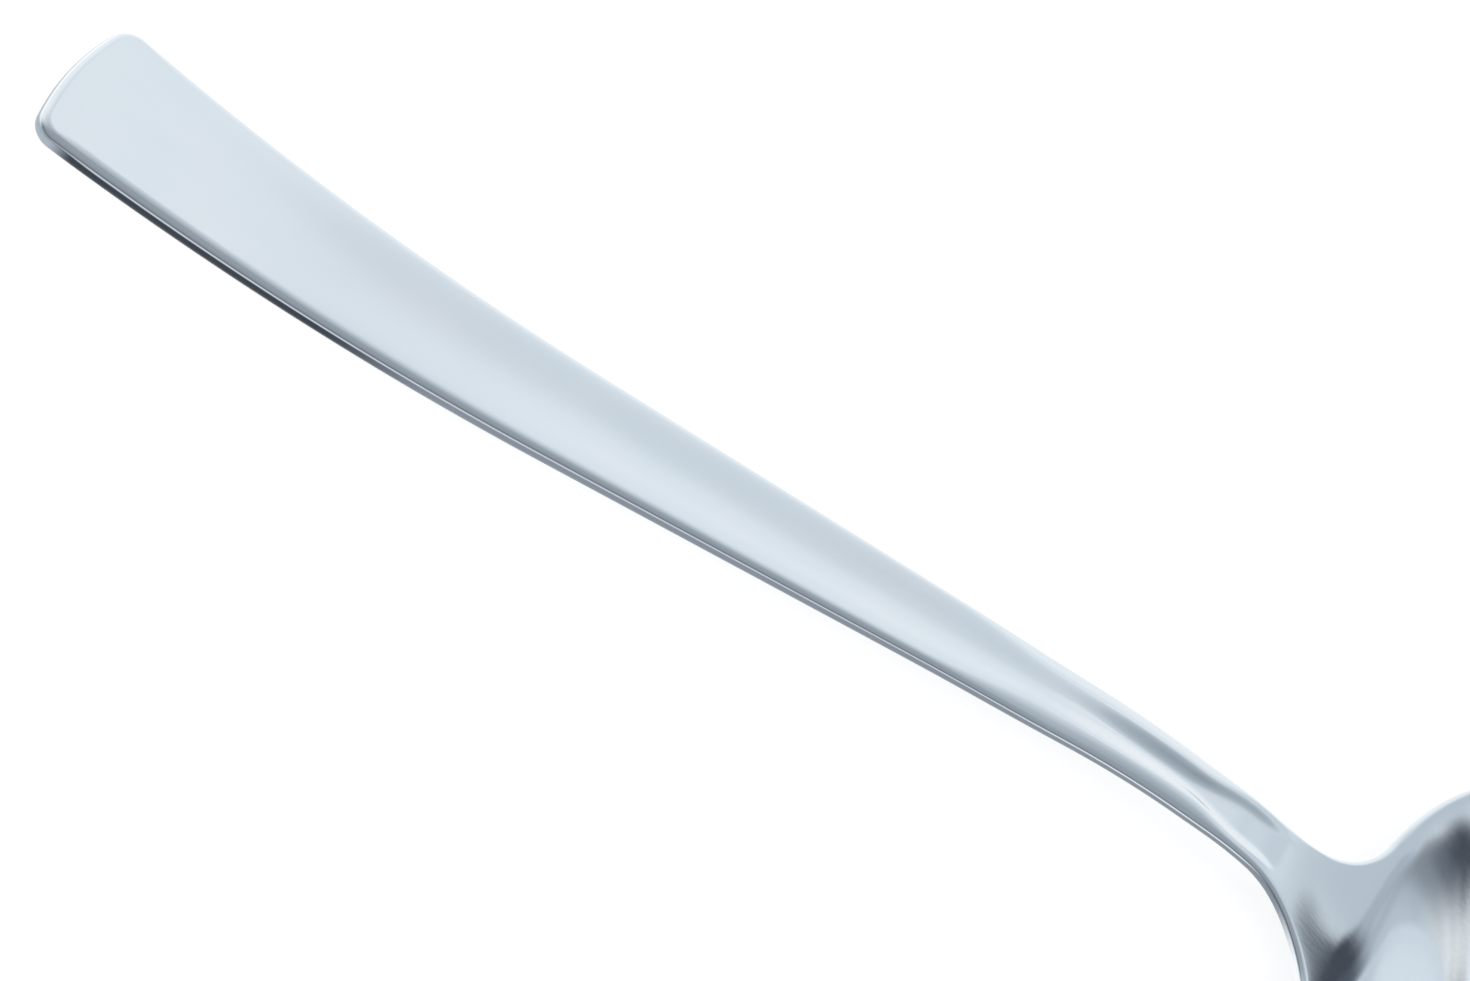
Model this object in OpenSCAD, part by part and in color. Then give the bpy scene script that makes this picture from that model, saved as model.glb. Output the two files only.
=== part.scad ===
// Sauce spoon: a flat tapering handle that rises to a narrow neck, and a wide oval bowl.
// It lies as it does on a table: the handle's end and the bowl's underside touch z = 0.
// Lengths are in millimetres. The origin is on the table, under the middle of the spoon's length.

/* [Handle] */
// Radius of the curve that lifts the handle off the table
tail_radius = 228; // [190:1:265]
// Angle of the straight part above the table
rise_angle = 12.15; // [10.5:0.05:14]
// Length of the straight part between the two curves
straight_length = 46.8; // [36:0.1:58]
// Radius of the curve that brings the handle level at the neck
neck_radius = 71.6; // [56:0.1:88]
// Width at the handle's end
end_width = 16.2; // [13.5:0.1:19.5]
// How far the middle of the end stands out past its corners
end_bulge = 1.2; // [0.4:0.1:2]
// Radius of the end's corners
end_corner = 2.2; // [1.8:0.1:3]
// Thickness of the rounded edge at the handle's end
end_thickness = 1.7; // [1.4:0.1:2]
// Extra thickness along the middle of the handle's back
back_crown = 0.4; // [0.1:0.05:0.5]
// Depth of the hollow along the handle's face
face_hollow = 0.2; // [0.05:0.05:0.35]
// Slope of the face's bevels where they meet the edge
bevel_angle = 18; // [8:1:24]
// Share of each half of the face that its bevel takes
bevel_share = 0.08; // [0.05:0.01:0.12]

/* [Neck] */
// Width of the neck
neck_width = 6.5; // [5.5:0.1:7.5]
// Length over which the taper eases into the neck
taper_ease = 7; // [4:0.5:12]
// Slope of the bevels at the neck
neck_bevel = 25; // [15:1:30]
// Share of each half of the face that its bevel takes at the neck
neck_bevel_share = 0.5; // [0.3:0.05:0.6]
// Depth of the hollow at the neck
neck_hollow = 0.24; // [0.1:0.02:0.3]
// Extra thickness along the middle of the neck's back
neck_crown = 0.9; // [0.5:0.1:1.2]

/* [Bowl] */
// Length of the bowl along the spoon
bowl_length = 52; // [46:1:60]
// Width of the bowl across the spoon
bowl_width = 70; // [62:1:80]
// Squareness of the bowl's outline, where 2 is a plain oval
bowl_squareness = 2.4; // [2:0.1:2.8]
// Slope of the bowl's wall at the rim, where 1 is that of a plain round dish
rim_slope = 0.45; // [0.3:0.05:0.7]
// Thickness of the bowl's wall and rounded rim, and of the neck's edge
rim_thickness = 1; // [0.8:0.1:1.3]
// Distance from the end of the handle to the bowl's outline
stem_length = 11.3; // [10.4:0.1:13.5]
// Half width at which the stem's flare runs into the bowl's outline
flare_reach = 11.8; // [10:0.1:12.8]
// How far the rim lies below the neck
rim_drop = 1.9; // [1.2:0.1:2.6]
// Height of the rounding that leads from the neck's face down into the bowl
lip_blend = 7; // [4:0.5:9]

/* [Hidden] */

// Steps that the curved faces are divided into
face_steps = 12;
edge_steps = 6;
corner_steps = 5;
body_steps = 44;
flare_steps = 10;
oval_steps = 27;
ring_steps = 18;

// Lengths over which the end's bulge dies out, and the crown, the bevels and the hollow grow from the end
bulge_run = 20;
crown_run = 25;
bevel_run = 6;
hollow_run = 50;
// Length over which the section changes to the neck's
neck_run = 36;
// Lengths over which the bevels die out along the stem, and the hollow stays whole
bevel_fade = 7;
hollow_keep = 4;
// How flat the hollow's bottom is at the neck and where the stem ends
neck_power = 2.5;
flare_power = 8;
// Length past the stem over which the rim levels out
rim_run = 2.5;
// Width over which the bowl's wall takes over from the stem's face, and how far that face then stays above
takeover = 8;
takeover_lift = 2;
// Blend that is left between them at the rim, and length from the weld over which the full one begins
rim_blend = 1.5;
lip_run = 4;
// Small step for slopes
slope_step = 0.001;

radian = 180 / PI;
steel = [0.77, 0.79, 0.81];

// Side view of the handle's face: a curve up from the table, a straight part and a curve to level
tail_length = tail_radius * rise_angle / radian;
neck_start = tail_length + straight_length;
handle_length = neck_start + neck_radius * rise_angle / radian;
straight_from = [tail_radius * sin(rise_angle), end_thickness + tail_radius * (1 - cos(rise_angle))];
neck_from = straight_from + straight_length * [cos(rise_angle), sin(rise_angle)];
weld_x = neck_from[0] + neck_radius * sin(rise_angle);
weld_z = neck_from[1] + neck_radius * (1 - cos(rise_angle));

// Plan of the bowl: a squared oval, with a round flare between it and the stem
half_long = bowl_length / 2;
half_wide = bowl_width / 2;
bowl_x = weld_x + stem_length + half_long;
total_length = bowl_x + half_long;
flare_along = half_long * pow(1 - pow(flare_reach / half_wide, bowl_squareness), 1 / bowl_squareness);
flare_normal = oval_normal(flare_along, flare_reach);
flare_radius = (flare_reach - neck_width / 2) / (1 - flare_normal[1]);
flare_x = bowl_x - flare_along + flare_normal[0] * flare_radius;
assert(flare_x >= weld_x, "the stem is too short for its flare");

// Heights of the middle of the bowl's wall
rim_z = weld_z - rim_drop;
rim_radius = rim_thickness / 2;
rim_middle = rim_z - rim_radius;
bowl_depth = rim_middle - rim_radius;

function mix(a, b, t) = a + (b - a) * t;
function limit(t) = min(max(t, 0), 1);
function ease(t) = let (u = limit(t)) u * u * (3 - 2 * u);
// The same without a jump in how it bends
function smooth_ease(t) = let (u = limit(t)) u * u * u * (u * (6 * u - 15) + 10);
function unit(v) = v / norm(v);
function flat(lists) = [for (l = lists) for (e = l) e];
function backwards(l) = [for (i = [len(l) - 1 : -1 : 0]) l[i]];
// A shallow hollow or crown across a face: full in the middle, and level at both edges
function swell(v) = pow(1 - v * v, 2);
// The lower of two heights, with the corner between them rounded over the height k
function soft_min(a, b, k) = let (h = max(k - abs(a - b), 0) / k) min(a, b) - h * h * h * k / 6;

// A section's bevels slope more and more from two crests out to the edge, with a hollow between.
// It is a list: radius of the edge, slope of the bevels there, their share of the face, their height,
// depth and flatness of the hollow, and crown of the back
function section(radius, half_width, tilt, share, hollow, power, crown) =
    [radius, tilt, share, tan(tilt) * share * (half_width + radius * sin(tilt)) / 2, hollow, power, crown];
// From the crests down to the middle of the edge
function sink(sec) = sec[0] * cos(sec[1]) + sec[3];
// Steps from there up to the face and down to the back, at a place across from 0 to 1
function face_step(sec, v) =
    let (inner = min(v / (1 - sec[2]), 1), outer = max(v - 1 + sec[2], 0) / sec[2])
    sec[0] * cos(sec[1]) + sec[3] * (1 - outer * outer) - sec[4] * pow(1 - pow(inner, sec[5]), 2);
function back_step(sec, v) = sec[0] + sec[6] * swell(v);

// The handle's side view and width, at the length s along its face
function path_angle(s) =
    s < tail_length ? s / tail_radius * radian
    : s < neck_start ? rise_angle
    : rise_angle - (s - neck_start) / neck_radius * radian;
function path_point(s) =
    let (a = path_angle(s))
    s < tail_length ? [tail_radius * sin(a), end_thickness + tail_radius * (1 - cos(a))]
    : s < neck_start ? straight_from + (s - tail_length) * [cos(a), sin(a)]
    : neck_from + neck_radius * [sin(rise_angle) - sin(a), cos(a) - cos(rise_angle)];
function eased(d) = sqrt(d * d + taper_ease * taper_ease) - taper_ease;
function half_width(s) =
    mix(neck_width, end_width, eased(handle_length - s) / eased(handle_length)) / 2;
function edge_radius(s) = mix(end_thickness, rim_thickness, limit(s / handle_length)) / 2;
function handle_section(s) =
    let (r = edge_radius(s), neck = smooth_ease(1 - (handle_length - s) / neck_run),
         past_end = s - end_thickness / 2)
    section(r, half_width(s) - r,
            mix(bevel_angle, neck_bevel, neck) * ease(past_end / bevel_run),
            mix(bevel_share, neck_bevel_share, neck),
            mix(face_hollow * ease(past_end / hollow_run), neck_hollow, neck),
            mix(2, neck_power, neck),
            mix(back_crown * ease(past_end / crown_run), neck_crown, neck));

// Rows across the handle, as length and half width of the middle of its thickness
// The first rows go round a corner of the end
corner_arc = end_corner - end_thickness / 2;
rows = concat(
    [for (i = [0 : corner_steps - 1])
        let (a = 90 * i / corner_steps, s = end_corner - corner_arc * cos(a))
        [s, half_width(s) - end_corner + corner_arc * sin(a), a]],
    [for (i = [0 : body_steps])
        let (s = mix(end_corner, handle_length, i / body_steps))
        [s, half_width(s) - edge_radius(s), 90]]);
across = [for (j = [0 : face_steps]) 2 * j / face_steps - 1];

function bulge(s, y) = end_bulge * pow(2 * y / end_width, 2) * pow(1 - limit(s / bulge_run), 2);
function bulge_slope(s, y) = end_bulge * 8 * y / pow(end_width, 2) * pow(1 - limit(s / bulge_run), 2);
// A point of the handle from its length, its place across and its height over the face
function on_handle(s, y, h) =
    let (p = path_point(s), a = path_angle(s)) [p[0] - h * sin(a), y, p[1] + h * cos(a)];
// Middle of the edge's thickness, the direction out of the face, the section, the place across,
// and the direction out of the side, which grows from the middle to the edge
function handle_middle(row, v) =
    let (y = v * row[1], s = row[0] + bulge(row[0], y), a = path_angle(s), sec = handle_section(row[0]))
    [on_handle(s, y, -sink(sec)), [-sin(a), 0, cos(a)], sec, abs(v), [0, v, 0]];
// Direction out of the handle's side or end
function handle_side(row, v, side) =
    let (y = v * row[1], a = path_angle(row[0]),
         d = unit([-cos(row[2]), side * sin(row[2]) + cos(row[2]) * bulge_slope(row[0], y)]))
    [d[0] * cos(a), d[1], d[0] * sin(a)];

// A bowl's outline is met at right angles by this direction, at x before its middle and y across
function oval_normal(x, y) =
    unit([-sign(x) * pow(abs(x), bowl_squareness - 1) / pow(half_long, bowl_squareness),
          sign(y) * pow(abs(y), bowl_squareness - 1) / pow(half_wide, bowl_squareness)]);
function oval_radius(a) =
    pow(pow(abs(cos(a)) / half_long, bowl_squareness) + pow(abs(sin(a)) / half_wide, bowl_squareness),
        -1 / bowl_squareness);
// Outline from the handle to the bowl's tip, as points and directions outwards
oval_from = atan2(flare_reach, flare_along);
flare_turn = atan2(-flare_normal[0], flare_normal[1]);
stem_outline = concat(
    [[[weld_x, neck_width / 2], [0, 1]]],
    [for (i = [0 : flare_steps - 1])
        let (a = flare_turn * i / flare_steps)
        [[flare_x + flare_radius * sin(a), neck_width / 2 + flare_radius * (1 - cos(a))],
         [-sin(a), cos(a)]]]);
left_rim = [for (i = [0 : oval_steps - 1])
    let (a = mix(oval_from, 180, i / oval_steps), x = oval_radius(a) * cos(a), y = oval_radius(a) * sin(a))
    [[bowl_x - x, y], oval_normal(x, y)]];
function mirrored(e) = [[e[0][0], -e[0][1]], [e[1][0], -e[1][1]]];
rim = concat(left_rim, [[[bowl_x + half_long, 0], [1, 0]]], [for (e = backwards(left_rim)) mirrored(e)]);
// The same along the middle of the rounded edge: rows across the stem, and rays from the bowl's middle
function edge_middle(e) = e[0] - rim_radius * e[1];
rim_line = [for (e = rim) edge_middle(e)];
rays = concat(rim_line, [for (j = [1 : face_steps - 1]) [rim_line[0][0], across[j] * rim_line[0][1]]]);

// Half width of the middle of the stem's edge, and the stem's section
// The bevels die out first, then the crown on the back, and last the hollow
function stem_half(x) =
    let (r = flare_radius + rim_radius)
    neck_width / 2 + flare_radius - sqrt(max(pow(r, 2) - pow(max(x - flare_x, 0), 2), 0));
function stem_section(x) =
    let (along = x - weld_x, bevelled = 1 - smooth_ease(along / bevel_fade),
         crowned = 1 - smooth_ease(along / stem_length),
         hollowed = 1 - smooth_ease((along - hollow_keep) / (stem_length - hollow_keep / 2)))
    section(rim_radius, stem_half(x), neck_bevel * bevelled, mix(bevel_share, neck_bevel_share, bevelled),
            neck_hollow * hollowed, mix(flare_power, neck_power, crowned), neck_crown * crowned);

// Height of the middle of the wall: the stem's face, and the bowl that it bends down into
function stem_height(x, y) =
    weld_z - sink(stem_section(x)) - rim_drop * smooth_ease((x - weld_x) / (stem_length + rim_run))
    + takeover_lift * (ease((abs(y) - flare_reach) / takeover) + ease((x - bowl_x) / half_long));
function bowl_height(x, y) =
    let (u = abs(x - bowl_x) / (half_long - rim_radius), w = abs(y) / (half_wide - rim_radius),
         inside = 1 - pow(pow(u, bowl_squareness) + pow(w, bowl_squareness), 2 / bowl_squareness))
    rim_middle - bowl_depth * mix(pow(max(inside, 0), 2), inside, rim_slope);
// The rounding is full along the stem, and dies out at the weld, to both sides and past the bowl's middle
function lip_round(x, y) =
    mix(rim_blend, lip_blend, smooth_ease((x - weld_x) / lip_run) * (1 - ease(abs(y) / flare_reach))
                              * (1 - ease(2 * (x - bowl_x) / half_long)));
function wall_height(x, y) = soft_min(bowl_height(x, y), stem_height(x, y), lip_round(x, y));
function wall_normal(x, y) =
    unit([wall_height(x - slope_step, y) - wall_height(x + slope_step, y),
          wall_height(x, y - slope_step) - wall_height(x, y + slope_step), 2 * slope_step]);
function bowl_middle(p, out = [0, 0]) =
    [[p[0], p[1], wall_height(p[0], p[1])], wall_normal(p[0], p[1]), stem_section(p[0]),
     limit(abs(p[1]) / stem_half(p[0])), [out[0], out[1], 0]];

// From a middle to the upper face, the lower face, and round the edge between them
function upper(m) = m[0] + face_step(m[2], m[3]) * m[1] + m[2][0] * sin(m[2][1]) * m[4];
function lower(m) = m[0] - back_step(m[2], m[3]) * m[1];
function edge_column(m, side) =
    let (out = unit(side - (side * m[1]) * m[1]), r = m[2][0])
    [for (e = [1 : edge_steps - 1])
        let (a = mix(m[2][1], 180, e / edge_steps))
        m[0] + r * cos(a) * m[1] + r * sin(a) * out];
function quad(a, b, c, d) = [[a, b, c], [a, c, d]];
// Faces round an edge, between columns of point numbers
function edge_faces(columns) =
    flat([for (k = [0 : len(columns) - 2]) for (e = [0 : edge_steps - 1])
        quad(columns[k][e], columns[k][e + 1], columns[k + 1][e + 1], columns[k + 1][e])]);

module handle() {
    count = len(rows);
    wide = face_steps + 1;
    middles = [for (row = rows) [for (v = across) handle_middle(row, v)]];
    last = count - 1;
    // Places along the edge: down one side, across the end and up the other side
    border = concat(
        [for (i = [last : -1 : 0]) [i, 0, -1]],
        [for (j = [1 : face_steps - 1]) [0, j, 0]],
        [for (i = [0 : last]) [i, face_steps, 1]]);
    faces_size = count * wide;
    points = concat(
        [for (line = middles) for (m = line) upper(m)],
        [for (line = middles) for (m = line) lower(m)],
        flat([for (b = border)
            edge_column(middles[b[0]][b[1]], handle_side(rows[b[0]], across[b[1]], b[2]))]));
    columns = [for (k = [0 : len(border) - 1])
        let (spot = border[k][0] * wide + border[k][1])
        concat([spot], [for (e = [0 : edge_steps - 2]) 2 * faces_size + k * (edge_steps - 1) + e],
               [faces_size + spot])];
    grid = flat([for (i = [0 : last - 1]) for (j = [0 : face_steps - 1])
        let (spot = i * wide + j) quad(spot, spot + 1, spot + wide + 1, spot + wide)]);
    weld = concat(
        [for (j = [0 : face_steps - 1]) last * wide + j], columns[len(columns) - 1],
        [for (j = [face_steps - 1 : -1 : 1]) faces_size + last * wide + j], backwards(columns[0]));
    color(steel) translate([-total_length / 2, 0, 0])
        polyhedron(points, concat(
            grid, [for (f = grid) [for (n = backwards(f)) n + faces_size]],
            edge_faces(columns), [[for (i = [0 : len(weld) - 2]) weld[i]]]));
}

module bowl() {
    count = len(rays);
    wide = face_steps + 1;
    centre = [bowl_x, 0];
    // Rings from the bowl's lowest point out to the rim, then rows across the stem up to the bowl
    rings = concat([bowl_middle(centre)],
        [for (i = [1 : ring_steps]) for (p = rays) bowl_middle(mix(centre, p, i / ring_steps))]);
    stem_from = len(rings);
    middles = concat(rings, [for (e = stem_outline) for (v = across)
        let (p = edge_middle(e))
        bowl_middle([p[0], v * p[1]], [abs(v) * e[1][0], v * e[1][1]])]);
    faces_size = len(middles);
    rim_from = 1 + (ring_steps - 1) * count;
    last = len(stem_outline) - 1;
    // Point numbers of each row of the stem; the row after the last lies on the bowl
    stem = concat(
        [for (i = [0 : last]) [for (j = [0 : face_steps]) stem_from + i * wide + j]],
        [concat([rim_from + len(rim) - 1], [for (k = [len(rim) : count - 1]) rim_from + k], [rim_from])]);
    // Places along the edge: up one side of the stem, round the rim and down the other side
    border = concat(
        [for (i = [0 : last]) [stem[i][face_steps], stem_outline[i][1]]],
        [for (k = [0 : len(rim) - 1]) [rim_from + k, rim[k][1]]],
        [for (i = [last : -1 : 0]) [stem[i][0], mirrored(stem_outline[i])[1]]]);
    points = concat(
        [for (m = middles) upper(m)],
        [for (m = middles) lower(m)],
        flat([for (b = border) edge_column(middles[b[0]], [b[1][0], b[1][1], 0])]));
    columns = [for (k = [0 : len(border) - 1])
        concat([border[k][0]], [for (e = [0 : edge_steps - 2]) 2 * faces_size + k * (edge_steps - 1) + e],
               [faces_size + border[k][0]])];
    grid = concat(
        [for (k = [0 : count - 1]) [0, 1 + k, 1 + (k + 1) % count]],
        flat([for (i = [0 : ring_steps - 2]) for (k = [0 : count - 1])
            let (a = 1 + i * count + k, b = 1 + i * count + (k + 1) % count)
            quad(a + count, b + count, b, a)]),
        flat([for (i = [0 : last]) for (j = [0 : face_steps - 1])
            quad(stem[i][j], stem[i][j + 1], stem[i + 1][j + 1], stem[i + 1][j])]));
    weld = concat(
        [for (j = [face_steps : -1 : 1]) stem[0][j]], columns[len(columns) - 1],
        [for (j = [1 : face_steps - 1]) faces_size + stem[0][j]], backwards(columns[0]));
    color(steel) translate([-total_length / 2, 0, 0])
        polyhedron(points, concat(
            grid, [for (f = grid) [for (n = backwards(f)) n + faces_size]],
            edge_faces(columns), [[for (i = [0 : len(weld) - 2]) weld[i]]]));
}

handle();
bowl();
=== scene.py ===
"""A sauce spoon of polished steel on a white table.

The handle and the bowl are each worked out by a Geometry Nodes tree. Inside the trees lengths are
in millimetres, x runs from the handle's end to the bowl's tip, y across and z up from the table.
"""
import math

import bpy
from mathutils import Matrix, Vector


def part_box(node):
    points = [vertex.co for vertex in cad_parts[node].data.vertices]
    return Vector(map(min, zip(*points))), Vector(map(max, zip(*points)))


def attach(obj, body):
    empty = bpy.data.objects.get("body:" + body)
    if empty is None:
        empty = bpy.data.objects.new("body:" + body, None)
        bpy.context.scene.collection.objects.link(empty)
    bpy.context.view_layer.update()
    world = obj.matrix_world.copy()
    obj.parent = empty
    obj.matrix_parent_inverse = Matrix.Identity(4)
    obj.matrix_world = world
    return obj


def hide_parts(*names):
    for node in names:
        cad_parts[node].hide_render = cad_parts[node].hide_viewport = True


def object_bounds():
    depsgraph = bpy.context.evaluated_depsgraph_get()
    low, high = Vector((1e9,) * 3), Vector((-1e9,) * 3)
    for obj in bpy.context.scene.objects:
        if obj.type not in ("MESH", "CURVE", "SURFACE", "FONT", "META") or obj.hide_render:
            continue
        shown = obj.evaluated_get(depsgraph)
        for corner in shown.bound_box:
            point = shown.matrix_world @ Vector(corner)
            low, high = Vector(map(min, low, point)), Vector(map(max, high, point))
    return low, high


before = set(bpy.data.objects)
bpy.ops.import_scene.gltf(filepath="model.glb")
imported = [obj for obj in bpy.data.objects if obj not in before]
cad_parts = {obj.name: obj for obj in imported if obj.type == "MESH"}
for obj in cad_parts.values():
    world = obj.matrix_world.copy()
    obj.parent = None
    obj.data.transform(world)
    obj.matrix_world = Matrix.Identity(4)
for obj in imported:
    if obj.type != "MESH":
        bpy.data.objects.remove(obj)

cad_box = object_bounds()

MM = 0.001

# Sizes of the section that the handle and the stem share where they meet
NECK = {
    "neck_width": 6.5,
    "neck_bevel": math.radians(20),
    "neck_bevel_share": 0.4,
    "neck_hollow": 0.24,
    "neck_crown": 0.9,
    "neck_power": 6.0,
    "bevel_share": 0.08,
    "bevel_lead": 5.5,
    "bevel_narrowing": 6.5,
    "bevel_fade": 6.0,
    "rim_thickness": 1.0,
}

# Sizes of the handle, in millimetres and radians
HANDLE = {
    **NECK,
    "tail_radius": 228.0,
    "rise_angle": math.radians(12.15),
    "straight_length": 46.8,
    "neck_radius": 71.6,
    "end_width": 16.2,
    "end_bulge": 1.2,
    "end_corner": 2.2,
    "taper_ease": 7.0,
    "end_thickness": 1.7,
    "bevel_angle": math.radians(12),
    "back_crown": 0.4,
    "face_hollow": 0.2,
    "bulge_run": 20.0,
    "crown_run": 25.0,
    "bevel_run": 6.0,
    "hollow_run": 50.0,
    "neck_run": 36.0,
    "widen_lead": 30.0,
    "widen_run": 14.0,
    "pinch_hollow": 0.40,
    "pinch_lead": 20.0,
    "pinch_run": 13.0,
    "power_run": 6.0,
}

# The handle's side view: a curve up from the table, a straight part and a curve to level at the neck
RISE = HANDLE["rise_angle"]
TURNING_RADIUS = HANDLE["tail_radius"] + HANDLE["neck_radius"]
WELD_X = TURNING_RADIUS * math.sin(RISE) + HANDLE["straight_length"] * math.cos(RISE)
WELD_Z = (HANDLE["end_thickness"] + TURNING_RADIUS * (1 - math.cos(RISE))
          + HANDLE["straight_length"] * math.sin(RISE))

# Sizes of the bowl and of the stem that joins it to the handle, in millimetres
BOWL = {
    **NECK,
    "weld_x": WELD_X,
    "weld_z": WELD_Z,
    "bowl_length": 52.0,
    "bowl_width": 70.0,
    "bowl_squareness": 2.4,
    "rim_slope": 0.45,
    "stem_length": 11.3,
    "flare_reach": 11.8,
    "hollow_fade": 5.5,
    "rim_drop": 1.9,
    "rim_run": 2.5,
    "lip_blend": 4.0,
    "lip_run": 4.0,
    "rim_blend": 1.5,
    "takeover": 8.0,
    "takeover_lift": 2.0,
}

# Steps that the faces are divided into
CORNER_ROWS = 14
BODY_ROWS = 220
FACE_STEPS = 80
EDGE_STEPS = 20
RING_STEPS = 72
FLARE_ROWS = 44
STEM_ROWS = 8
RIM_STEPS = 260
# Below 1, the rings lie further apart near the bowl's middle
RING_CROWDING = 0.8
# Points closer than this are one point, edges this near the weld are sharp, and slopes span this step
MERGE = 0.001
NEAR = 0.01
SLOPE_STEP = 0.05

# Where the photograph was taken from: height and turn of the view, roll of the picture, and its reach
PHOTO_WIDTH = 1470
FOCAL_PIXELS = 5927.3
VIEW_HEIGHT = math.radians(42)
VIEW_TURN = math.radians(-5)
VIEW_ROLL = math.radians(42.63)
VIEW_DISTANCE = 467 * MM
VIEW_TARGET = Vector((-24.40, 0, 11.22)) * MM

# Colours of the room by height, from the horizon at 0 to overhead at 1
FAR_SIDE = [
    (0.0, (0.98, 0.99, 1.0)),
    (0.31, (0.91, 0.945, 0.97)),
    (0.39, (0.82, 0.87, 0.92)),
    (0.52, (0.69, 0.74, 0.79)),
    (0.60, (0.59, 0.64, 0.69)),
    (0.70, (0.46, 0.51, 0.56)),
    (0.82, (0.39, 0.44, 0.49)),
    (0.94, (0.27, 0.305, 0.345)),
    (1.0, (0.27, 0.30, 0.34)),
]
CAMERA_SIDE = [
    (0.0, (0.90, 0.94, 0.97)),
    (0.09, (0.80, 0.84, 0.88)),
    (0.28, (0.18, 0.20, 0.23)),
    (0.55, (0.32, 0.35, 0.39)),
    (0.85, (0.33, 0.37, 0.41)),
    (1.0, (0.44, 0.48, 0.52)),
]
SIDE_BLEND = 0.35
# Soft patches in the room: turn to the right of straight behind the spoon, height, reach of the full
# colour and of its soft edge, all in degrees, and colour
PATCHES = [
    (-6, 42, 2, 6.2, (0.84, 0.88, 0.92)),
    (21.7, 39.2, 3.1, 10.8, (0.63, 0.69, 0.75)),
    (32.3, 30.3, 4.5, 9.2, (0.71, 0.77, 0.82)),
    (46, 29.7, 4.6, 14.7, (0.54, 0.60, 0.66)),
    (37.7, 36.4, 2.6, 8.3, (0.54, 0.60, 0.66)),
    (44.9, 19, 3.2, 6.5, (0.44, 0.50, 0.56)),
    (45.2, 6.8, 3.1, 12.1, (0.46, 0.52, 0.58)),
    (46.9, 3, 1.9, 5.8, (0.54, 0.60, 0.66)),
    (66, 13.3, 4, 8, (0.97, 1.0, 1.0)),
    (74, 42.2, 2, 8.2, (0.91, 0.94, 0.97)),
    (30.9, 21, 2.8, 4.2, (0.15, 0.17, 0.20)),
    (35.7, 18.9, 2.2, 7, (0.05, 0.06, 0.08)),
    (36, 12.4, 4.5, 9, (0.06, 0.07, 0.09)),
    (38.5, 5.9, 1.9, 6.4, (0.08, 0.10, 0.13)),
    (52.7, 14.3, 0.6, 7.1, (0.25, 0.28, 0.32)),
    (57, 18.3, 1, 6, (0.13, 0.15, 0.18)),
    (61.3, 19.3, 0.5, 2.7, (0.36, 0.39, 0.43)),
    (60, 23.3, 1.6, 6.8, (0.06, 0.07, 0.09)),
]

# The steel: sizes in metres and detail of its clouds, tints and polishing marks, its colours and its
# roughness
CLOUD_SIZE = (0.014, 0.006, 0.006)
TINT_SIZE = (0.020, 0.008, 0.008)
MARK_SIZE = (0.030, 0.0004, 0.0004)
CLOUD_DETAIL = 2.0
TINT_DETAIL = 1.0
MARK_DETAIL = 3.0
# The middle of the noise, which is stretched to the whole of 0 to 1
NOISE_LOW = 0.3
NOISE_HIGH = 0.7
STEEL_DULL = (0.82, 0.87, 0.90)
STEEL_COOL = (0.84, 0.89, 0.915)
STEEL_WARM = (0.865, 0.885, 0.915)
# Painted shade on the lower part of the edge, standing in for its dark reflection of the shaded table:
# along most of the spoon, darkest near the end, and lighter at the end's corner
STEEL_SHADE_LINE = (0.23, 0.26, 0.30)
STEEL_END_SHADE_LINE = (0.045, 0.055, 0.07)
STEEL_CORNER_SHADE_LINE = (0.38, 0.43, 0.48)
ROUGHNESS = 0.07
ROUGHNESS_SPREAD = 0.03
MARK_ROUGHNESS = 0.02
MARK_STRENGTH = 0.05
MARK_DEPTH = 0.00001
# Where the painted shade lies round the edge, between the face at 0 and the back at 1: a dark reflection of
# the shaded table under the spoon, painted on the lower part of the edge
SHADE_LINE_FROM = 0.30
SHADE_LINE_TO = 0.74
SHADE_LINE_BLEND = 0.06
SHADE_LINE_ROUGHNESS = 0.2
# Places along the spoon, in metres, between which the painted shade on the edge grows darker, grows lighter
# and runs out
SHADE_LINE_DARKENS = (-0.0835, -0.081)
SHADE_LINE_LIGHTENS = (-0.058, -0.046)
SHADE_LINE_ENDS = (0.028, 0.033)

# The lamp, which only the floor shows, and the floor, with what it is lifted by to be white
LAMP_TURN = math.radians(-5)
LAMP_HEIGHT = math.radians(48)
LAMP_DISTANCE = 1.2
LAMP_SIZE = 0.5
LAMP_POWER = 14
FLOOR_REACH = 4.0
FLOOR_LIFT = 0.75
FLOOR_COLOUR = (0.3, 0.3, 0.3)


class Number:
    """A number that a node tree works out. Plain arithmetic on it adds Math nodes to the tree."""

    def __init__(self, tree, socket):
        self.tree = tree
        self.socket = socket

    def __add__(self, other):
        return calc("ADD", self, other)

    def __sub__(self, other):
        return calc("SUBTRACT", self, other)

    def __rsub__(self, other):
        return calc("SUBTRACT", other, self)

    def __mul__(self, other):
        return calc("MULTIPLY", self, other)

    def __truediv__(self, other):
        return calc("DIVIDE", self, other)

    def __rtruediv__(self, other):
        return calc("DIVIDE", other, self)

    def __pow__(self, other):
        return calc("POWER", self, other)

    def __neg__(self):
        return calc("MULTIPLY", self, -1)

    __radd__ = __add__
    __rmul__ = __mul__


def plug(tree, value, socket):
    """Gives a node's input a number, or what another node works out."""
    if isinstance(value, Number):
        tree.links.new(value.socket, socket)
    else:
        socket.default_value = value


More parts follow.
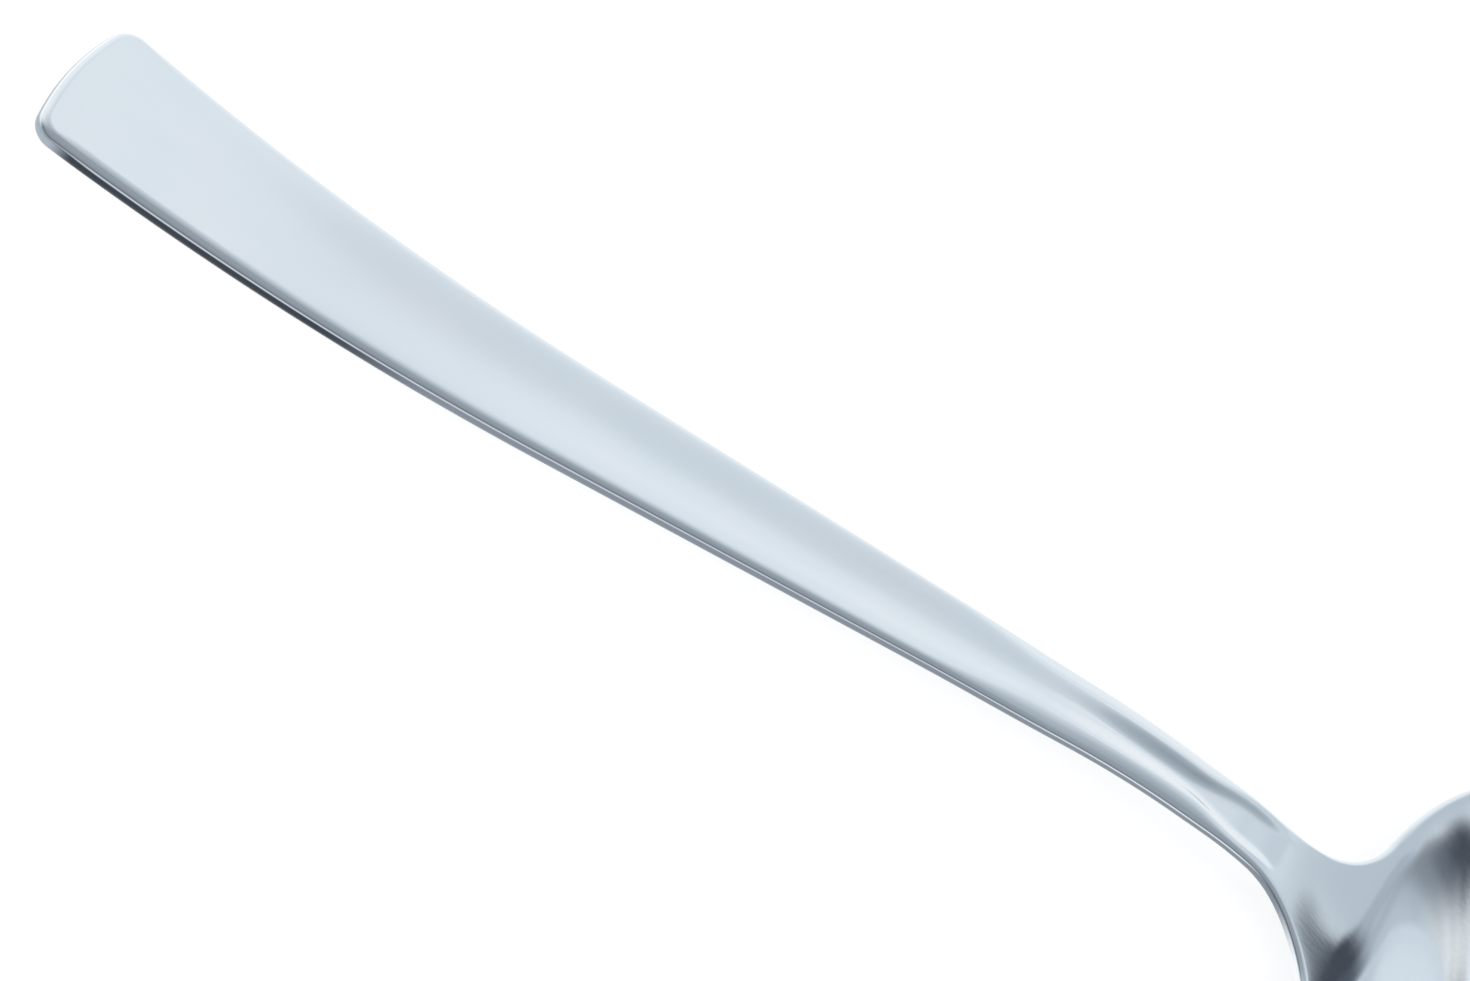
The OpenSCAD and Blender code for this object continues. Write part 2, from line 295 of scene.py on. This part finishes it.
def calc(operation, *values, clamp=False):
    """Adds a Math node to the tree of the first number among the values."""
    tree = next(value.tree for value in values if isinstance(value, Number))
    node = tree.nodes.new("ShaderNodeMath")
    node.operation = operation
    node.use_clamp = clamp
    for value, socket in zip(values, node.inputs):
        plug(tree, value, socket)
    return Number(tree, node.outputs[0])


def sin(angle):
    return calc("SINE", angle)


def cos(angle):
    return calc("COSINE", angle)


def root(value):
    return calc("SQRT", value)


def size_of(value):
    return calc("ABSOLUTE", value)


def least(a, b):
    return calc("MINIMUM", a, b)


def most(a, b):
    return calc("MAXIMUM", a, b)


def limit(t):
    """Keeps a number within 0 and 1."""
    return calc("ADD", t, 0, clamp=True)


def mix(a, b, t):
    return a + (b - a) * t


def ease(t):
    u = limit(t)
    return u * u * (3 - 2 * u)


def smooth_ease(t):
    """Eases from 0 to 1 without a jump in how it bends."""
    u = limit(t)
    return u * u * u * (u * (6 * u - 15) + 10)


def swell(v):
    """A shallow hollow or crown across a face: full in the middle, and level at both edges."""
    return (1 - v * v) ** 2


class Section:
    """A section's bevels slope more and more from two crests out to the edge, with a hollow between."""

    def __init__(self, radius, half_width, tilt, share, hollow, crown, power):
        self.radius = radius
        self.tilt = tilt
        self.share = share
        self.hollow = hollow
        self.crown = crown
        self.power = power
        self.bevel = calc("TANGENT", tilt) * share * (half_width + radius * sin(tilt)) / 2
        # From the crests down to the middle of the edge
        self.sink = radius * cos(tilt) + self.bevel

    def step(self, v, turn):
        """Steps up and out from the middle of the edge, at a place across and a turn round the edge."""
        v = size_of(v)
        angle = self.tilt + turn * (1 - self.tilt / math.pi)
        inner = least(v / (1 - self.share), 1)
        outer = most(v - 1 + self.share, 0) / self.share
        face = self.bevel * (1 - outer * outer) - self.hollow * (1 - inner ** self.power) ** self.power
        up = (self.radius * cos(angle) + most(cos(turn), 0) * face
              + least(cos(turn), 0) * self.crown * swell(v))
        return up, self.radius * sin(angle)


def soft_least(a, b, k):
    """The lower of two heights, with the corner between them rounded over the height k."""
    h = most(k - size_of(a - b), 0) / k
    return least(a, b) - h * h * h * k / 6


class Sizes:
    """The named inputs of a tree, as numbers."""


def new_tree(name, sizes, makes="NodeSocketGeometry"):
    """A tree with a named input for each size, and these inputs as numbers."""
    tree = bpy.data.node_groups.new(name, "GeometryNodeTree")
    tree.interface.new_socket("Result", in_out="OUTPUT", socket_type=makes)
    for key, value in sizes.items():
        socket = tree.interface.new_socket(key, in_out="INPUT", socket_type="NodeSocketFloat")
        socket.default_value = value
    given = tree.nodes.new("NodeGroupInput")
    size = Sizes()
    for key in sizes:
        setattr(size, key, Number(tree, given.outputs[key]))
    return tree, size


def add(tree, kind, **inputs):
    """Adds a node and gives its inputs values or other nodes' outputs."""
    node = tree.nodes.new(kind)
    for key, value in inputs.items():
        socket = node.inputs[key.replace("_", " ")]
        if isinstance(value, bpy.types.NodeSocket):
            tree.links.new(value, socket)
        else:
            plug(tree, value, socket)
    return node


def vector(tree, x, y, z):
    return add(tree, "ShaderNodeCombineXYZ", X=x, Y=y, Z=z).outputs[0]


def parts(tree, socket):
    """The three numbers of a vector."""
    node = add(tree, "ShaderNodeSeparateXYZ", Vector=socket)
    return [Number(tree, output) for output in node.outputs]


def place(tree):
    return parts(tree, tree.nodes.new("GeometryNodeInputPosition").outputs[0])


def moved(tree, mesh, x, y, z):
    return add(tree, "GeometryNodeSetPosition", Geometry=mesh, Position=vector(tree, x, y, z)).outputs[0]


def grid(tree, columns, rows):
    """A flat grid, and the places of its points along it and across it, from 0 to 1."""
    node = add(tree, "GeometryNodeMeshGrid", Size_X=1.0, Size_Y=1.0,
               Vertices_X=columns + 1, Vertices_Y=rows + 1)
    x, y = place(tree)[:2]
    # The grid lies round the origin
    return node.outputs["Mesh"], x + 0.5, y + 0.5


def flipped(tree, mesh):
    return add(tree, "GeometryNodeFlipFaces", Mesh=mesh).outputs[0]


def turned_over(tree, mesh):
    """The other face of a shell: the same places, half a turn round the edge."""
    return add(tree, "GeometryNodeTransform", Geometry=mesh, Translation=(0, 0, math.pi)).outputs[0]


def pointing(tree, mesh, x, y):
    """Keeps the direction out of the edge with each point."""
    node = add(tree, "GeometryNodeStoreNamedAttribute", Geometry=mesh, Name="outwards")
    node.data_type = "FLOAT_VECTOR"
    tree.links.new(vector(tree, x, y, 0.0), node.inputs["Value"])
    return node.outputs[0]


def marked(tree, mesh, turn):
    """Keeps with each point where it lies round the edge: 0 on the face, 1 on the back."""
    node = add(tree, "GeometryNodeStoreNamedAttribute", Geometry=mesh, Name="round_edge")
    plug(tree, turn / math.pi, node.inputs["Value"])
    return node.outputs[0]


def joined(tree, *meshes):
    node = tree.nodes.new("GeometryNodeJoinGeometry")
    for mesh in meshes:
        tree.links.new(mesh, node.inputs[0])
    return node.outputs[0]


def end_tree(tree, mesh, weld_x, material):
    """Joins the points that lie together, and gives the mesh its shading and its material."""
    merged = add(tree, "GeometryNodeMergeByDistance", Geometry=mesh, Distance=MERGE).outputs[0]
    smooth = add(tree, "GeometryNodeSetShadeSmooth", Geometry=merged, Shade_Smooth=True).outputs[0]
    # The rim of the flat weld face is sharp
    x = place(tree)[0]
    at_weld = calc("LESS_THAN", size_of(x - weld_x), NEAR)
    sharp = add(tree, "GeometryNodeSetShadeSmooth", Geometry=smooth, Selection=at_weld, Shade_Smooth=False)
    sharp.domain = "EDGE"
    metres = add(tree, "GeometryNodeTransform", Geometry=sharp.outputs[0], Scale=(MM, MM, MM)).outputs[0]
    real = add(tree, "GeometryNodeRealizeInstances", Geometry=metres).outputs[0]
    done = add(tree, "GeometryNodeSetMaterial", Geometry=real, Material=material).outputs[0]
    tree.links.new(done, tree.nodes.new("NodeGroupOutput").inputs[0])
    return tree


def border_share(k, before, steps):
    """How far k has gone, from 0 to 1, over the steps that follow the ones before."""
    return limit((k - before) / steps)


def weld_face(tree):
    """The flat face where a piece meets the other: its places across, and the turns round its edge."""
    half = EDGE_STEPS / 2
    mesh, u, w = grid(tree, FACE_STEPS + EDGE_STEPS, 1)
    q = u * (FACE_STEPS + EDGE_STEPS)
    quarter = 1 - border_share(q, 0, half) + border_share(q, half + FACE_STEPS, half)
    v = 2 * border_share(q, half, FACE_STEPS) - 1
    turn = quarter * (math.pi / 2)
    return mesh, v, turn + w * (math.pi - 2 * turn)


def bevel_left(size, past_weld):
    """How much of the neck's wide bevels is left at a distance past the weld."""
    return 1 - smooth_ease((past_weld + size.bevel_lead) / size.bevel_narrowing)


def handle_tree(material):
    """Each point of the grids is a place along, a place across, and a turn round the edge."""
    tree, size = new_tree("handle_shape", HANDLE)
    rows = CORNER_ROWS + BODY_ROWS

    upper, u, w = grid(tree, rows, FACE_STEPS)
    upper = moved(tree, upper, u, 2 * w - 1, 0.0)
    lower = flipped(tree, turned_over(tree, upper))
    border = 2 * rows + FACE_STEPS
    edge, u, w = grid(tree, border, EDGE_STEPS)
    t = 1 - border_share(u * border, 0, rows) + border_share(u * border, rows + FACE_STEPS, rows)
    v = 2 * border_share(u * border, rows, FACE_STEPS) - 1
    edge = moved(tree, edge, t, v, w * math.pi)
    weld, v, turn = weld_face(tree)
    weld = flipped(tree, moved(tree, weld, 1.0, v, turn))
    mesh = joined(tree, upper, lower, edge, weld)

    t, v, turn = place(tree)
    tail_length = size.tail_radius * size.rise_angle
    neck_start = tail_length + size.straight_length
    length = neck_start + size.neck_radius * size.rise_angle

    def eased(d):
        return root(d * d + size.taper_ease * size.taper_ease) - size.taper_ease

    # The first rows go round a corner of the end
    corner = border_share(t * rows, 0, CORNER_ROWS) * (math.pi / 2)
    body = border_share(t * rows, CORNER_ROWS, BODY_ROWS)
    corner_arc = size.end_corner - size.end_thickness / 2
    s = size.end_corner - corner_arc * cos(corner) + body * (length - size.end_corner)
    half_width = mix(size.neck_width, size.end_width, eased(length - s) / eased(length)) / 2
    radius = mix(size.end_thickness, size.rim_thickness, s / length) / 2
    middle = half_width - radius
    y = v * (middle - corner_arc * (1 - sin(corner)))

    # The end bulges outwards in its middle
    bulge_left = (1 - limit(s / size.bulge_run)) ** 2 * size.end_bulge
    along = s + bulge_left * (2 * y / size.end_width) ** 2
    # Slope of that bulge across the end
    bulge_slope = bulge_left * 8 * y / (size.end_width * size.end_width)

    # Side view
    tail_turn = least(along, tail_length) / size.tail_radius
    straight = limit((along - tail_length) / size.straight_length) * size.straight_length
    neck_turn = size.rise_angle - most(along - neck_start, 0) / size.neck_radius
    angle = tail_turn + neck_turn - size.rise_angle
    path_x = (size.tail_radius * sin(tail_turn) + straight * cos(size.rise_angle)
              + size.neck_radius * (sin(size.rise_angle) - sin(neck_turn)))
    path_z = (size.end_thickness + size.tail_radius * (1 - cos(tail_turn))
              + straight * sin(size.rise_angle)
              + size.neck_radius * (cos(neck_turn) - cos(size.rise_angle)))

    # The section changes towards the neck
    past_end = s - size.end_thickness / 2
    neck = smooth_ease(1 - (length - s) / size.neck_run)
    tilt = mix(size.bevel_angle, size.neck_bevel, neck) * ease(past_end / size.bevel_run)
    crown = mix(size.back_crown * ease(past_end / size.crown_run), size.neck_crown, neck)
    widened = smooth_ease((s - length + size.widen_lead) / size.widen_run)
    share = mix(size.bevel_share, size.neck_bevel_share, widened * bevel_left(size, s - length))
    # The face's shallow hollow runs out before the neck's narrow one begins
    pinch = smooth_ease((s - length + size.pinch_lead) / size.pinch_run)
    shallow = size.face_hollow * limit(past_end / size.hollow_run) * (1 - neck)
    steeper = ease(1 - (length - s) / size.power_run)
    hollow = mix(shallow, mix(size.pinch_hollow, size.neck_hollow, steeper), pinch)
    section = Section(radius, middle, tilt, share, hollow, crown, mix(2, size.neck_power, steeper))
    up, reach = section.step(v, turn)
    rise = up - section.sink
    side_x = -cos(corner)
    side_y = v * sin(corner) + cos(corner) * bulge_slope

    x = path_x - sin(angle) * rise + cos(angle) * side_x * reach
    z = path_z + cos(angle) * rise + sin(angle) * side_x * reach
    mesh = moved(tree, marked(tree, mesh, turn), x, y + side_y * reach, z)
    weld_x = ((size.tail_radius + size.neck_radius) * sin(size.rise_angle)
              + size.straight_length * cos(size.rise_angle))
    return end_tree(tree, mesh, weld_x, material)


def bowl_plan(size):
    """Adds to the bowl's sizes what its plan is drawn from: an oval, and a flare that leads to it."""
    size.half_long = size.bowl_length / 2
    size.half_wide = size.bowl_width / 2
    size.centre = size.weld_x + size.stem_length + size.half_long
    power = size.bowl_squareness
    size.flare_along = size.half_long * (1 - (size.flare_reach / size.half_wide) ** power) ** (1 / power)
    out_x, out_y = oval_normal(size, size.flare_along, size.flare_reach)
    size.flare_radius = (size.flare_reach - size.neck_width / 2) / (1 - out_y)
    size.flare_x = size.centre - size.flare_along + out_x * size.flare_radius
    size.flare_turn = calc("ARCTAN2", -out_x, out_y)


def oval_normal(size, x, y):
    """Direction out of the bowl's outline, at x before its middle and y across."""
    power = size.bowl_squareness
    out_x = calc("SIGN", x) * size_of(x) ** (power - 1) / size.half_long ** power
    out_y = calc("SIGN", y) * size_of(y) ** (power - 1) / size.half_wide ** power
    length = root(out_x * out_x + out_y * out_y)
    return -out_x / length, out_y / length


def stem_section(size, x):
    """The section of the stem at x, and the half width of the middle of its edge."""
    radius = size.rim_thickness / 2
    bend = size.flare_radius + radius
    past = most(x - size.flare_x, 0)
    half = size.neck_width / 2 + size.flare_radius - root(most(bend * bend - past * past, 0))
    # The hollow and the bevels die out first, and the crown on the back last
    along = x - size.weld_x
    bevelled = 1 - smooth_ease(along / size.bevel_fade)
    crowned = 1 - smooth_ease(along / size.stem_length)
    hollowed = 1 - smooth_ease(along / size.hollow_fade)
    section = Section(radius, half, size.neck_bevel * bevelled,
                      mix(size.bevel_share, size.neck_bevel_share, bevel_left(size, along)),
                      size.neck_hollow * hollowed, size.neck_crown * crowned, size.neck_power)
    return section, half


def wall_height_tree():
    """Height of the middle of the wall: the stem's face, and the bowl that it bends down into."""
    tree, size = new_tree("wall_height", {"x": 0.0, "y": 0.0, **BOWL}, "NodeSocketFloat")
    bowl_plan(size)
    x = size.x
    across = size_of(size.y)
    past_middle = x - size.centre
    lift = ease((across - size.flare_reach) / size.takeover) + ease(past_middle / size.half_long)
    drop = smooth_ease((x - size.weld_x) / (size.stem_length + size.rim_run))
    stem = size.weld_z - size.rim_thickness / 2 - size.rim_drop * drop + size.takeover_lift * lift

    rim_middle = size.weld_z - size.rim_drop - size.rim_thickness / 2
    depth = rim_middle - size.rim_thickness / 2
    power = size.bowl_squareness
    along = size_of(past_middle) / (size.half_long - size.rim_thickness / 2)
    wide = across / (size.half_wide - size.rim_thickness / 2)
    inside = 1 - (along ** power + wide ** power) ** (2 / power)
    bowl = rim_middle - depth * mix(most(inside, 0) ** 2, inside, size.rim_slope)

    # The rounding is full along the stem, and dies out at the weld, to both sides and past the middle
    lip = (smooth_ease((x - size.weld_x) / size.lip_run) * (1 - ease(across / size.flare_reach))
           * (1 - ease(2 * past_middle / size.half_long)))
    height = soft_least(bowl, stem, mix(size.rim_blend, size.lip_blend, lip))
    tree.links.new(height.socket, tree.nodes.new("NodeGroupOutput").inputs[0])
    return tree


def rim_sheets(tree, size):
    """The bowl from its middle out to the rim, from one end of the flare round to the other."""
    upper, u, w = grid(tree, RIM_STEPS, RING_STEPS)
    upper = moved(tree, upper, u, w ** RING_CROWDING, 0.0)
    lower = turned_over(tree, upper)
    edge, u, w = grid(tree, RIM_STEPS, EDGE_STEPS)
    edge = flipped(tree, moved(tree, edge, u, 1.0, w * math.pi))
    mesh = joined(tree, flipped(tree, upper), lower, edge)

    k, share, turn = place(tree)
    power = size.bowl_squareness
    first = calc("ARCTAN2", size.flare_reach, size.flare_along)
    a = math.pi - (2 * k - 1) * (math.pi - first)
    distance = ((size_of(cos(a)) / size.half_long) ** power
                + (size_of(sin(a)) / size.half_wide) ** power) ** (-1 / power)
    before = distance * cos(a)
    y = distance * sin(a)
    out_x, out_y = oval_normal(size, before, y)
    radius = size.rim_thickness / 2
    mesh = pointing(tree, mesh, out_x, out_y)
    x = size.centre - (before + radius * out_x) * share
    return moved(tree, mesh, x, (y - radius * out_y) * share, turn)


def stem_sheets(tree, size):
    """A strip from the bowl's middle through the flare and along the stem to the handle."""
    stem_rows = FLARE_ROWS + STEM_ROWS
    rows = RING_STEPS + stem_rows
    upper, u, w = grid(tree, rows, FACE_STEPS)
    upper = moved(tree, upper, u * rows, 2 * w - 1, 0.0)
    lower = turned_over(tree, upper)
    left, u, w = grid(tree, stem_rows, EDGE_STEPS)
    left = moved(tree, left, RING_STEPS + u * stem_rows, 1.0, w * math.pi)
    right = add(tree, "GeometryNodeTransform", Geometry=left, Scale=(1, -1, 1)).outputs[0]
    weld, v, turn = weld_face(tree)
    weld = moved(tree, weld, rows, v, turn)
    mesh = joined(tree, flipped(tree, upper), lower, flipped(tree, left), right, weld)

    row, v, turn = place(tree)
    share = border_share(row, 0, RING_STEPS) ** RING_CROWDING
    a = size.flare_turn * (1 - border_share(row, RING_STEPS, FLARE_ROWS))
    straight = border_share(row, RING_STEPS + FLARE_ROWS, STEM_ROWS)
    x = size.flare_x + size.flare_radius * sin(a) - straight * (size.flare_x - size.weld_x)
    y = size.neck_width / 2 + size.flare_radius * (1 - cos(a))
    radius = size.rim_thickness / 2
    mesh = pointing(tree, mesh, -sin(a) * size_of(v), v * cos(a))
    across = (y - radius * cos(a)) * share * v
    return moved(tree, mesh, mix(size.centre, x + radius * sin(a), share), across, turn)


def bowl_tree(material):
    """Each point of the sheets is a place in the plan and a turn round the edge."""
    tree, size = new_tree("bowl_shape", BOWL)
    bowl_plan(size)
    mesh = joined(tree, rim_sheets(tree, size), stem_sheets(tree, size))

    x, y, turn = place(tree)
    direction = add(tree, "GeometryNodeInputNamedAttribute", Name="outwards")
    direction.data_type = "FLOAT_VECTOR"
    out_x, out_y = parts(tree, direction.outputs[0])[:2]
    rule = wall_height_tree()

    def wall_height(x, y):
        node = tree.nodes.new("GeometryNodeGroup")
        node.node_tree = rule
        for socket in node.inputs:
            plug(tree, {"x": x, "y": y}.get(socket.name) or getattr(size, socket.name), socket)
        return Number(tree, node.outputs[0])

    slope_x = (wall_height(x + SLOPE_STEP, y) - wall_height(x - SLOPE_STEP, y)) / (2 * SLOPE_STEP)
    slope_y = (wall_height(x, y + SLOPE_STEP) - wall_height(x, y - SLOPE_STEP)) / (2 * SLOPE_STEP)
    normal_z = 1 / root(slope_x * slope_x + slope_y * slope_y + 1)
    normal_x = -slope_x * normal_z
    normal_y = -slope_y * normal_z

    # The neck's section dies out along the stem
    section, half = stem_section(size, x)
    up, reach = section.step(limit(size_of(y) / half), turn)
    up = up + section.radius - section.sink

    # The edge is round across the wall
    tilt = out_x * normal_x + out_y * normal_y
    side_x = out_x - tilt * normal_x
    side_y = out_y - tilt * normal_y
    side_z = -tilt * normal_z
    length = most(root(side_x * side_x + side_y * side_y + side_z * side_z), MERGE)
    reach = reach * root(out_x * out_x + out_y * out_y) / length
    mesh = moved(tree, marked(tree, mesh, turn),
                 x + normal_x * up + side_x * reach,
                 y + normal_y * up + side_y * reach,
                 wall_height(x, y) + normal_z * up + side_z * reach)
    mesh = add(tree, "GeometryNodeRemoveAttribute", Geometry=mesh, Name="outwards").outputs[0]
    return end_tree(tree, mesh, size.weld_x, material)


def piece_from(name, tree, sizes, shift):
    """A plain mesh of what the tree makes, in metres in the frame."""
    holder = bpy.data.objects.new(name + "_rule", bpy.data.meshes.new(name + "_rule"))
    bpy.context.scene.collection.objects.link(holder)
    modifier = holder.modifiers.new("shape", "NODES")
    modifier.node_group = tree
    for item in tree.interface.items_tree:
        if item.in_out == "INPUT":
            modifier[item.identifier] = sizes[item.name]
    mesh = bpy.data.meshes.new_from_object(holder.evaluated_get(bpy.context.evaluated_depsgraph_get()))
    bpy.data.objects.remove(holder)
    mesh.transform(Matrix.Translation(shift))
    piece = bpy.data.objects.new(name, mesh)
    bpy.context.scene.collection.objects.link(piece)
    return piece


def ramp(tree, value, stops):
    """A colour for a number from 0 to 1, smooth between the stops."""
    node = add(tree, "ShaderNodeValToRGB", Fac=value)
    node.color_ramp.interpolation = "EASE"
    elements = node.color_ramp.elements
    while len(elements) < len(stops):
        elements.new(0.5)
    for element, (at, colour) in zip(elements, stops):
        element.position = at
        element.color = (*colour, 1)
    return node.outputs["Color"]


def blend(tree, share, first, second):
    """A colour between two others, which are plain colours or other nodes' outputs."""
    node = tree.nodes.new("ShaderNodeMix")
    node.data_type = "RGBA"
    plug(tree, share, node.inputs[0])
    colours = [socket for socket in node.inputs if socket.type == "RGBA"]
    for socket, colour in zip(colours, (first, second)):
        if isinstance(colour, bpy.types.NodeSocket):
            tree.links.new(colour, socket)
        else:
            socket.default_value = (*colour, 1)
    return next(socket for socket in node.outputs if socket.type == "RGBA")


def noise(tree, size, detail):
    """Soft noise from 0 to 1, with patches of this size in metres along x, y and z."""
    coordinates = tree.nodes.new("ShaderNodeTexCoord").outputs["Object"]
    scaled = tree.nodes.new("ShaderNodeVectorMath")
    scaled.operation = "DIVIDE"
    tree.links.new(coordinates, scaled.inputs[0])
    scaled.inputs[1].default_value = size
    node = add(tree, "ShaderNodeTexNoise", Vector=scaled.outputs[0], Scale=1.0, Detail=detail)
    return limit((Number(tree, node.outputs[0]) - NOISE_LOW) / (NOISE_HIGH - NOISE_LOW))


def between(x, ends):
    """How far x has gone from the first of two places to the second, smooth at both."""
    return ease((x - ends[0]) / (ends[1] - ends[0]))


def polished_steel():
    """Bluish polished steel with faint clouds and polishing marks, and painted shade, a dark reflection of
    the shaded table, along the lower part of its edge.
    """
    material = bpy.data.materials.new("polished_steel")
    material.use_nodes = True
    tree = material.node_tree
    shader = tree.nodes["Principled BSDF"]
    clouds = noise(tree, CLOUD_SIZE, CLOUD_DETAIL)
    tints = noise(tree, TINT_SIZE, TINT_DETAIL)
    marks = noise(tree, MARK_SIZE, MARK_DETAIL)
    attribute = tree.nodes.new("ShaderNodeAttribute")
    attribute.attribute_name = "round_edge"
    turn = Number(tree, attribute.outputs["Fac"])
    # Painted shade: the lower part of the edge is darkened where it would reflect the table in shade under
    # the spoon
    painted_shade = ease((turn - SHADE_LINE_FROM) / SHADE_LINE_BLEND) * (1 - ease((turn - SHADE_LINE_TO) / SHADE_LINE_BLEND))

    polished = blend(tree, clouds, STEEL_DULL, blend(tree, tints, STEEL_COOL, STEEL_WARM))
    x = parts(tree, tree.nodes.new("ShaderNodeTexCoord").outputs["Object"])[0]
    # The painted shade runs out towards the bowl, and is darkest near the end and lighter at the end's
    # corner
    painted_shade = painted_shade * (1 - between(x, SHADE_LINE_ENDS))
    painted_shade_colour = blend(tree, between(x, SHADE_LINE_LIGHTENS), STEEL_END_SHADE_LINE, STEEL_SHADE_LINE)
    painted_shade_colour = blend(tree, between(x, SHADE_LINE_DARKENS), STEEL_CORNER_SHADE_LINE, painted_shade_colour)
    tree.links.new(blend(tree, painted_shade, polished, painted_shade_colour), shader.inputs["Base Color"])
    shader.inputs["Metallic"].default_value = 1
    roughness = ROUGHNESS + ROUGHNESS_SPREAD * (1 - clouds) + MARK_ROUGHNESS * marks + SHADE_LINE_ROUGHNESS * painted_shade
    plug(tree, roughness, shader.inputs["Roughness"])
    bump = add(tree, "ShaderNodeBump", Height=marks, Strength=MARK_STRENGTH, Distance=MARK_DEPTH)
    tree.links.new(bump.outputs[0], shader.inputs["Normal"])
    return material


def white_floor():
    """A pale floor that looks white to the camera and in the steel, and keeps the spoon's shadow."""
    mesh = bpy.data.meshes.new("floor")
    level = cad_box[0].z
    corners = [(x * FLOOR_REACH, y * FLOOR_REACH, level) for x, y in ((-1, -1), (1, -1), (1, 1), (-1, 1))]
    mesh.from_pydata(corners, [], [(0, 1, 2, 3)])
    floor = bpy.data.objects.new("floor", mesh)
    bpy.context.scene.collection.objects.link(floor)
    material = bpy.data.materials.new("white_floor")
    material.use_nodes = True
    tree = material.node_tree
    shader = tree.nodes["Principled BSDF"]
    shader.inputs["Base Color"].default_value = (*FLOOR_COLOUR, 1)
    shader.inputs["Roughness"].default_value = 1
    shader.inputs["Specular IOR Level"].default_value = 0
    path = tree.nodes.new("ShaderNodeLightPath").outputs
    seen = limit(Number(tree, path["Is Camera Ray"]) + Number(tree, path["Is Glossy Ray"])
                 + Number(tree, path["Is Transmission Ray"]))
    shader.inputs["Emission Color"].default_value = (1, 1, 1, 1)
    plug(tree, seen * FLOOR_LIFT, shader.inputs["Emission Strength"])
    mesh.materials.append(material)


def studio_light():
    """A pale room: white low down and grey overhead, darker on the camera's side."""
    world = bpy.data.worlds.new("studio")
    world.use_nodes = True
    tree = world.node_tree
    x, y, z = parts(tree, tree.nodes.new("ShaderNodeTexCoord").outputs["Generated"])
    height = calc("ARCSINE", limit(z)) / (math.pi / 2)
    far_side = ease((y + SIDE_BLEND) / (2 * SIDE_BLEND))
    colour = blend(tree, far_side, ramp(tree, height, CAMERA_SIDE), ramp(tree, height, FAR_SIDE))
    for patch_turn, patch_height, inner, outer, patch_colour in PATCHES:
        towards = -view_direction(math.radians(-patch_turn), -math.radians(patch_height))
        near = x * towards.x + y * towards.y + z * towards.z
        edge = math.cos(math.radians(outer))
        share = ease((near - edge) / (math.cos(math.radians(inner)) - edge))
        colour = blend(tree, share, colour, patch_colour)
    tree.links.new(colour, tree.nodes["Background"].inputs["Color"])
    bpy.context.scene.world = world

    lamp = bpy.data.objects.new("lamp", bpy.data.lights.new("lamp", "AREA"))
    bpy.context.scene.collection.objects.link(lamp)
    lamp.data.shape = "DISK"
    lamp.data.size = LAMP_SIZE
    lamp.data.energy = LAMP_POWER
    lamp.visible_glossy = False
    back = view_direction(LAMP_TURN, LAMP_HEIGHT)
    turned = back.to_track_quat("Z", "Y").to_matrix().to_4x4()
    lamp.matrix_world = Matrix.Translation(back * LAMP_DISTANCE) @ turned


def view_direction(turn, height):
    """From the spoon towards something at this turn from straight before it, and this height."""
    return Vector((math.sin(turn) * math.cos(height), -math.cos(turn) * math.cos(height), math.sin(height)))


def photo_camera():
    """The camera, where the photograph was taken from."""
    camera = bpy.data.objects.new("camera", bpy.data.cameras.new("camera"))
    bpy.context.scene.collection.objects.link(camera)
    camera.data.lens = FOCAL_PIXELS * camera.data.sensor_width / PHOTO_WIDTH
    back = view_direction(VIEW_TURN, VIEW_HEIGHT)
    level = Vector((math.cos(VIEW_TURN), math.sin(VIEW_TURN), 0))
    upright = back.cross(level)
    right = math.cos(VIEW_ROLL) * level + math.sin(VIEW_ROLL) * upright
    turned = Matrix((right, back.cross(right), back)).transposed().to_4x4()
    camera.matrix_world = Matrix.Translation(VIEW_TARGET + VIEW_DISTANCE * back) @ turned
    bpy.context.scene.camera = camera


steel = polished_steel()
weld_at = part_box("handle")[1].x
shift = Vector((weld_at - WELD_X * MM, 0, 0))
handle = piece_from("spoon_handle", handle_tree(steel), HANDLE, shift)
bowl = piece_from("spoon_bowl", bowl_tree(steel), BOWL, shift)
for piece, node in ((handle, "handle"), (bowl, "bowl")):
    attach(piece, "root")
    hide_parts(node)

white_floor()
studio_light()
photo_camera()
bpy.context.scene.view_settings.view_transform = "Standard"
